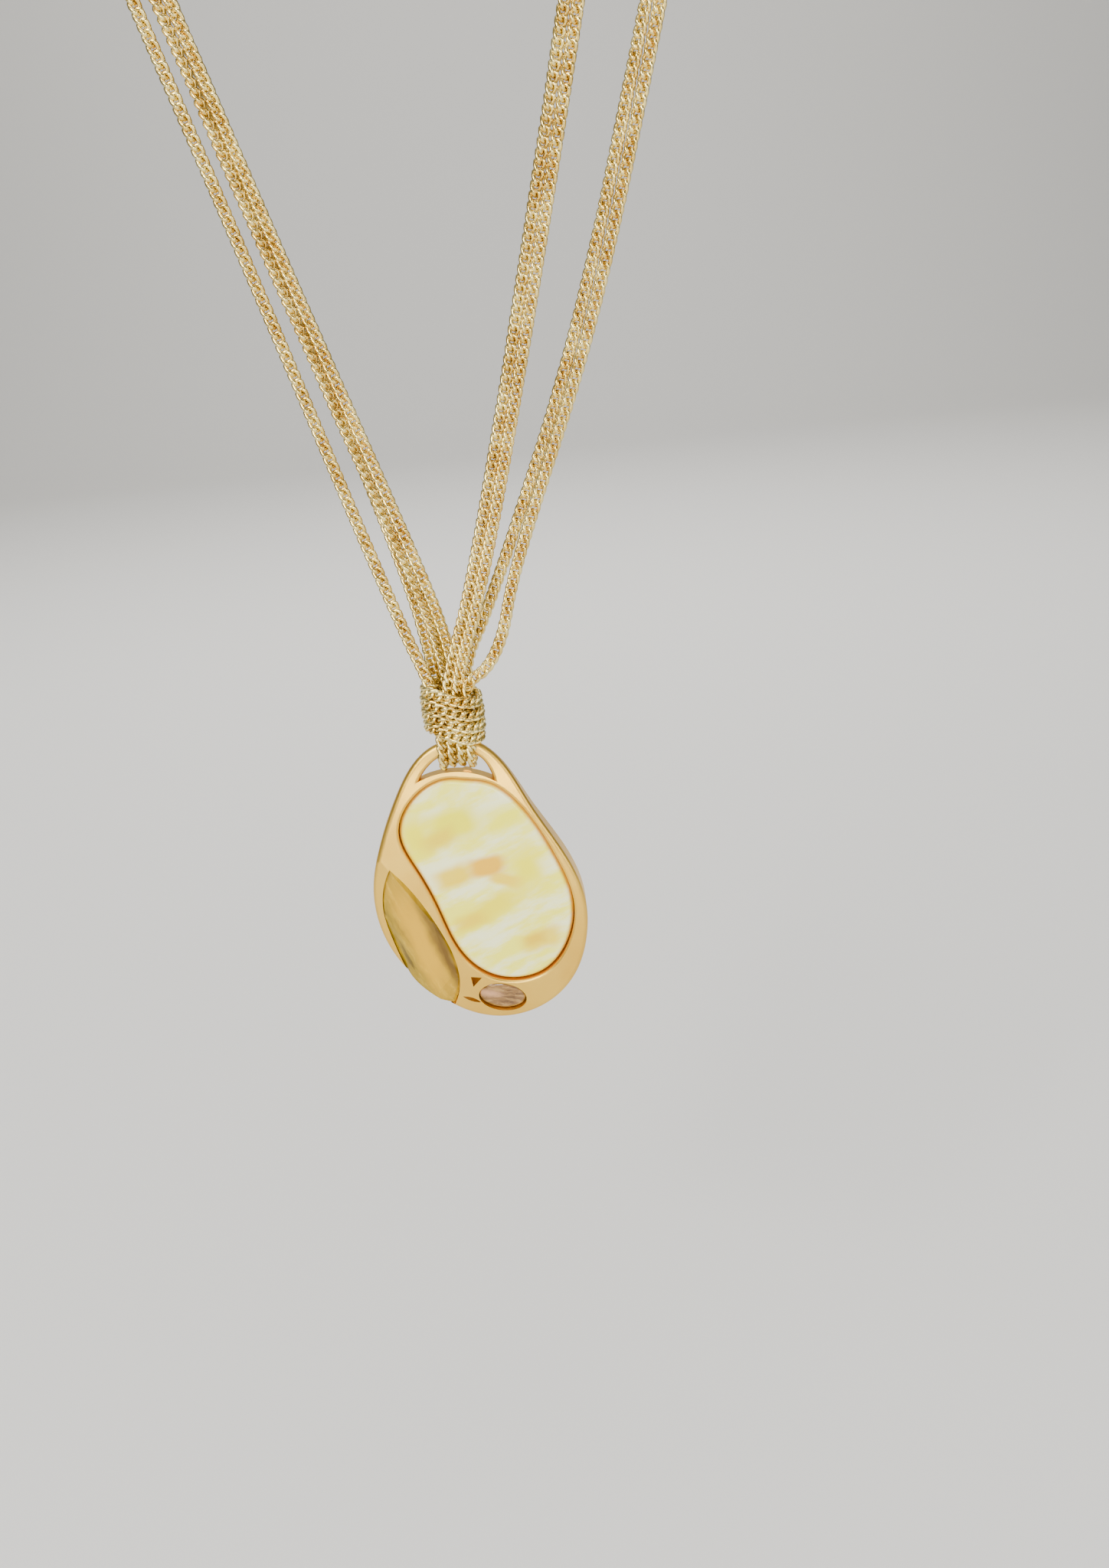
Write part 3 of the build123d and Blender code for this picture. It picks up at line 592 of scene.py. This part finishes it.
@dataclass
class ChainSet:
    """The four chains, each from end cap to end cap over the pendant's bar."""

    link: CurbLink
    material: bpy.types.Material
    lane: float = 1.38
    neck_lane: float = 1.9
    neck_slope: tuple[float, float] = (0.8, 0.75)  # outward per lane, and down per step outward
    row: float = 2.0
    knot: tuple[float, float] = (BAR_MIDDLE[0], -58.0)
    loop_drop: float = 0.4
    loop_bend: float = 3.3  # height above its low point from which a chain bends round the bar
    bound_z: float = -160.5
    bound_roll: float = 52.0
    bar_z: float = BAR_MIDDLE[1]
    front_from: float = 10.0  # depth below the neck at which the links begin to face the front
    front_over: float = 30.0  # height over which they come to face it
    back: tuple[float, float] = (50.0, 10.0)
    cap: tuple[float, float] = (20.0, 5.0)
    lead: float = 2.5
    neck_left: list[Point] = field(default_factory=lambda: [
        (-31.0, 45.5, 9.5), (-43.0, 34.5, 7.5), (-50.5, 20.0, 4.5), (-53.0, 3.5, 0.5),
        (-51.5, -13.0, -4.5), (-47.0, -28.0, -11.5), (-42.5, -40.0, -21.0)])
    neck_inner: list[Point] = field(default_factory=lambda: [
        (31.0, 45.5, 9.5), (43.0, 34.5, 7.5), (50.5, 20.0, 4.5), (53.0, 3.5, 0.5),
        (51.0, -13.0, -4.0), (46.0, -28.0, -10.5), (40.2, -40.2, -20.0)])
    neck_outer: list[Point] = field(default_factory=lambda: [
        (31.0, 45.5, 9.5), (43.0, 34.5, 7.5), (50.5, 20.0, 4.5), (53.0, 3.5, 0.5),
        (52.6, -13.0, -5.0), (51.0, -28.0, -13.0), (49.5, -40.6, -23.0)])

    def neck_run(self, base: list[Point], lane: float) -> list[Point]:
        """Points round the neck of the chain that lies so many lanes out.

        Args:
            base: The side's middle line.
            lane: Lanes outward from it.

        Returns:
            The chain's own points, in millimetres.
        """
        points = []
        for x, y, z in base:
            reach = math.hypot(x, y)
            out = self.neck_slope[0] * self.neck_lane * lane
            points.append((x + out * x / reach, y + out * y / reach,
                           z - self.neck_slope[1] * out))
        return points

    def cap_run(self, side: Side, row: int, level: int) -> list[Point]:
        """Start a chain straight, inside its end cap.

        Args:
            side: The end cap it lies in.
            row: -1 or 1, towards the neck or away from it.
            level: -1 or 1, low or high in the cap.

        Returns:
            The points in millimetres.
        """
        y = self.back[0] + row * self.lane / 2
        z = self.back[1] + level * self.lane / 2
        mouth, depth = self.cap
        inside, outside = mouth - depth, mouth + self.lead
        return [(side.value * inside, y, z), (side.value * outside, y, z)]

    def through(self, column: int, down_z: float, up_z: float) -> list[Point]:
        """Points down through the binding, round the bar and up again.

        Args:
            column: The chain's place across the binding, from 0.
            down_z: Height at which the front leg turns down.
            up_z: Height at which the back leg leaves.

        Returns:
            The points in millimetres.
        """
        x = self.knot[0] + (column - 1.5) * self.lane
        y = self.knot[1]
        low = self.bar_z - self.row - (self.loop_drop if column in (0, 3) else 0.0)
        turn = low + self.loop_bend
        return [(x, y - self.row, down_z), (x, y - self.row, turn), (x, y - self.row, low),
                (x, y + self.row, low), (x, y + self.row, turn), (x, y + self.row, up_z)]

    def routes(self) -> dict[str, list[Point]]:
        """Join each chain's legs, neck runs and loop into one route.

        Returns:
            The four routes in millimetres, each by the name of its solid.
        """
        a = [(-40.4, -50.9, -35.0), (-22.6, -55.0, -94.0), (-6.6, -57.6, -151.0)]
        b = [(-37.6, -50.2, -35.0), (-19.8, -54.6, -95.0), (-5.0, -56.9, -142.0)]
        c = [(-35.9, -50.2, -35.0), (-18.1, -54.6, -95.0), (-3.4, -56.9, -142.0)]
        d = [(-34.9, -48.6, -35.0), (-19.0, -52.8, -95.0), (-5.2, -54.6, -143.0)]
        e = [(34.0, -52.0, -35.0), (18.9, -55.8, -94.0), (4.9, -58.2, -145.0)]
        f = [(35.9, -52.0, -35.0), (20.6, -55.8, -94.0), (6.5, -58.2, -145.0)]
        g = [(46.0, -50.6, -35.0), (33.4, -53.4, -78.0), (22.2, -55.4, -114.0),
             (11.6, -56.6, -138.5), (5.6, -56.6, -151.5)]
        h = [(47.9, -51.0, -35.0), (35.2, -54.0, -78.0), (24.0, -56.2, -114.0),
             (13.2, -57.6, -138.5), (9.6, -58.2, -147.5), (7.9, -58.9, -154.0),
             (5.2, -59.6, -158.6)]
        left, inner, outer = self.neck_left, self.neck_inner, self.neck_outer
        return {
            "chain_single": self.cap_run(Side.LEFT, 1, -1) + self.neck_run(left, 1.5) + a
            + self.through(0, -161.2, -158.5) + d[::-1]
            + self.neck_run(left, -1.5)[::-1] + self.cap_run(Side.LEFT, -1, 1)[::-1],
            "chain_inner_left": self.cap_run(Side.RIGHT, -1, 1) + self.neck_run(inner, -1.5) + e
            + self.through(1, -160.5, -156.0) + b[::-1]
            + self.neck_run(left, 0.5)[::-1] + self.cap_run(Side.LEFT, 1, 1)[::-1],
            "chain_inner_right": self.cap_run(Side.RIGHT, -1, -1) + self.neck_run(inner, -0.5) + f
            + self.through(2, -160.5, -156.0) + c[::-1]
            + self.neck_run(left, -0.5)[::-1] + self.cap_run(Side.LEFT, -1, -1)[::-1],
            "chain_outer": self.cap_run(Side.RIGHT, 1, -1) + self.neck_run(outer, 1.5) + h
            + self.through(3, -160.2, -158.8) + g[::-1]
            + self.neck_run(outer, 0.5)[::-1] + self.cap_run(Side.RIGHT, 1, 1)[::-1],
        }

    def facing(self, point: Vector, roll: float) -> Vector:
        """Direction a link's flat side faces: away from the wearer, rolled by an angle.

        Args:
            point: The link's middle in metres.
            roll: Degrees about the vertical.

        Returns:
            A direction, not yet square to the chain.
        """
        away = Vector((point.x, point.y, 0.0))
        if away.length < 1e-6:
            away = Vector((0, -1, 0))
        away.normalize()
        front = Vector((0, -1, 0))
        share = min(max((-point.z / MM - self.front_from) / self.front_over, 0.0), 1.0)
        return Matrix.Rotation(math.radians(roll), 3, "Z") @ away.lerp(front, share)

    def wobble(self, index: int) -> float:
        """Degrees by which a link is turned more than its chain, since none lies quite even."""
        return 9.0 * math.sin(index * 0.37) * math.sin(index * 0.11 + 1.0)

    def build(self) -> list[bpy.types.Object]:
        """Draw the four chains.

        Returns:
            The four new pieces.
        """
        pattern = self.link.build()
        # degrees of roll on the first half of each chain's route, then on the second
        rolls = {"chain_single": (28.0, 12.0), "chain_inner_left": (35.0, 62.0),
                 "chain_inner_right": (12.0, 6.0), "chain_outer": (-8.0, -30.0)}
        pieces = []
        for name, route in self.routes().items():
            metres = [(x * MM, y * MM, z * MM) for x, y, z in route]
            points = spline_points(name + "_line", metres, self.link.pitch)
            facing = []
            for index, point in enumerate(points):
                first, second = rolls[name]
                roll = first if index < len(points) / 2 else second
                if point.z < self.bound_z * MM:
                    roll = self.bound_roll
                facing.append(self.facing(point, roll + self.wobble(index)))
            piece = lay_links(name + "_links", pattern, Strand(points, facing), self.material)
            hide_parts(name)
            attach(piece, "root")
            pieces.append(piece)
        bpy.data.meshes.remove(pattern)
        return pieces


@dataclass
class Binding:
    """The same chain wound flat round the others, with both its ends hidden at the back."""

    link: CurbLink
    material: bpy.types.Material
    middle: Point = (-0.45, -58.0, -164.6)
    turns: float = 4.0
    pitch: float = 1.8
    level_turns: float = 1.62
    radius: float = 3.95
    end_radius: float = 3.6
    lean_deg: float = 19.0

    def build(self) -> bpy.types.Object:
        """Draw the winding, from its top turn down.

        Returns:
            The new piece.
        """
        pattern = self.link.build()
        count = round(self.turns * 2 * math.pi * self.radius * MM / self.link.pitch)
        points, facing = [], []
        for index in range(count + 1):
            share = index / count
            angle = math.pi / 2 + 2 * math.pi * self.turns * share
            crown = 1 - (2 * share - 1) ** 2
            reach = self.end_radius + (self.radius - self.end_radius) * crown
            risen = (0.5 - share) * self.turns
            height = min(max(risen, -self.level_turns), self.level_turns) * self.pitch
            # the turns slope across the front and lie level behind
            swing = 0.5 * math.cos(angle) - 0.25 * math.sin(2 * angle)
            tilt = math.tan(math.radians(self.lean_deg)) * reach * swing
            points.append(Vector(((self.middle[0] + reach * math.cos(angle)) * MM,
                                  (self.middle[1] + reach * math.sin(angle)) * MM,
                                  (self.middle[2] + height - tilt) * MM)))
            facing.append(Vector((math.cos(angle), math.sin(angle), 0.0)))
        piece = lay_links("binding_links", pattern, Strand(points, facing), self.material)
        bpy.data.meshes.remove(pattern)
        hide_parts("binding_winding")
        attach(piece, "root")
        return piece


# ---------------------------------------------------------------- studio
@dataclass
class Studio:
    """A pale floor that sweeps up behind, soft light and the camera, in metres."""

    floor_z: float = -0.32
    floor_half: float = 2.5
    sweep_height: float = 3.0
    sweep_radius: float = 0.8
    camera_at: Point = (13.0, -244.7, -109.2)  # millimetres
    elevation_deg: float = 20.0
    roll_deg: float = 5.5
    lens: float = 20.7890625  # millimetres, for a frame 24 mm high
    frame_height: float = 24.0

    def floor(self) -> None:
        """Make the floor and its sweep."""
        material, shader = new_material("matt_painted_board")
        shader.inputs["Base Color"].default_value = linear("EDEBE6")
        shader.inputs["Roughness"].default_value = 0.9
        shape = bmesh.new()
        bmesh.ops.create_grid(shape, x_segments=1, y_segments=1, size=self.floor_half,
                              matrix=Matrix.Translation((0, 0, self.floor_z)))
        back = [edge for edge in shape.edges if all(v.co.y > 0 for v in edge.verts)]
        lifted = bmesh.ops.extrude_edge_only(shape, edges=back)["geom"]
        verts = [item for item in lifted if isinstance(item, bmesh.types.BMVert)]
        bmesh.ops.translate(shape, verts=verts, vec=(0, 0, self.sweep_height))
        bmesh.ops.bevel(shape, geom=back, offset=self.sweep_radius, segments=10, profile=0.5,
                        material=-1, affect="EDGES")
        bmesh.ops.recalc_face_normals(shape, faces=shape.faces)
        piece = new_piece("studio_floor", shape, material)

    def light(self, name: str, place: Point, aim: Point, size: float, power: float) -> None:
        """Add one soft area light.

        Args:
            name: Its name.
            place: Where it hangs, in metres.
            aim: The point it faces.
            size: Its width.
            power: Its power in watts.
        """
        data = bpy.data.lights.new(name, "AREA")
        data.size = size
        data.energy = power
        lamp = bpy.data.objects.new(name, data)
        lamp.location = place
        towards = Vector(aim) - Vector(place)
        lamp.rotation_euler = towards.to_track_quat("-Z", "Y").to_euler()
        bpy.context.scene.collection.objects.link(lamp)

    def camera(self) -> None:
        """Place the camera above the knot, looking down at the pendant and rolled a little."""
        rise = math.radians(self.elevation_deg)
        roll = math.radians(self.roll_deg)
        ahead = Vector((0, math.cos(rise), -math.sin(rise)))
        level = Vector((0, math.sin(rise), math.cos(rise)))
        right = math.cos(roll) * Vector((1, 0, 0)) - math.sin(roll) * level
        up = math.sin(roll) * Vector((1, 0, 0)) + math.cos(roll) * level
        data = bpy.data.cameras.new("camera")
        data.sensor_fit = "VERTICAL"
        data.sensor_height = self.frame_height
        data.lens = self.lens
        data.clip_start = 0.005
        eye = bpy.data.objects.new("camera", data)
        place = Matrix((right, up, -ahead)).transposed().to_4x4()
        place.translation = Vector(self.camera_at) * MM
        eye.matrix_world = place
        bpy.context.scene.collection.objects.link(eye)
        bpy.context.scene.camera = eye

    def build(self) -> None:
        """Set up floor, lights, world and camera."""
        self.floor()
        self.light("key", (-0.35, -0.6, 0.3), (0, -0.05, -0.15), 0.35, 6.5)
        self.light("fill", (0.6, -0.5, 0.0), (0, -0.05, -0.15), 0.4, 2.0)
        self.light("front", (0.02, -0.85, -0.05), (0, -0.05, -0.17), 0.25, 3.7)
        self.light("top", (0.05, -0.05, 0.75), (0, 0, -0.1), 0.6, 4.0)
        self.light("backdrop", (0.0, 0.5, 0.9), (0, 1.9, 0.1), 0.8, 22.0)
        world = bpy.data.worlds.new("studio")
        world.use_nodes = True
        back = world.node_tree.nodes["Background"]
        back.inputs["Color"].default_value = linear("F2F1EE")
        back.inputs["Strength"].default_value = 0.3
        bpy.context.scene.world = world
        self.camera()


def dress(nodes: dict[str, bpy.types.Object], names: list[str],
          material: bpy.types.Material) -> None:
    """Give CAD nodes a finish.

    Args:
        nodes: The frame's nodes.
        names: Those that get it.
        material: The finish.
    """
    for name in names:
        piece = nodes[name]
        piece.data.materials.clear()
        piece.data.materials.append(material)
        log.info("%s: %s", name, material.name)


def main() -> None:
    """Build and dress the necklace."""
    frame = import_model()
    chain_gold = PlatedMetal("gold_plated_curb_chain", "FBE79A", "E2C26A", 0.22, 3.0, 0.08,
                             0.15).build()
    cast_gold = PlatedMetal("satin_gold_plated_casting", "F4C858", "EDBC4C", 0.36, 9.0, 0.05,
                            0.25).build()
    bright_gold = PlatedMetal("polished_gold_plated_findings", "EFCB6A", "CDA042", 0.16, 4.0,
                              0.06, 0.1).build()
    spring_steel = PlatedMetal("drawn_spring_steel", "C9C8C4", "A9A8A5", 0.25, 2.0, 0.05,
                               0.1).build()
    link = CurbLink()
    ChainSet(link, chain_gold).build()
    Binding(link, chain_gold).build()
    nodes = frame["nodes"]
    dress(nodes, ["pendant_frame"], cast_gold)
    dress(nodes, ["main_stone"], MotherOfPearl().build())
    dress(nodes, ["marquise_stone"], HoneyGlass().build())
    dress(nodes, ["oval_stone"], SmokyShell().build())
    dress(nodes, [name for name in nodes if name.startswith(("left_", "right_", "clasp_",
                                                            "extender_", "end_"))], bright_gold)
    dress(nodes, ["clasp_spring"], spring_steel)
    Studio().build()


if __name__ == "__main__":
    logging.basicConfig(level=logging.INFO, format="%(name)s: %(message)s")
    main()
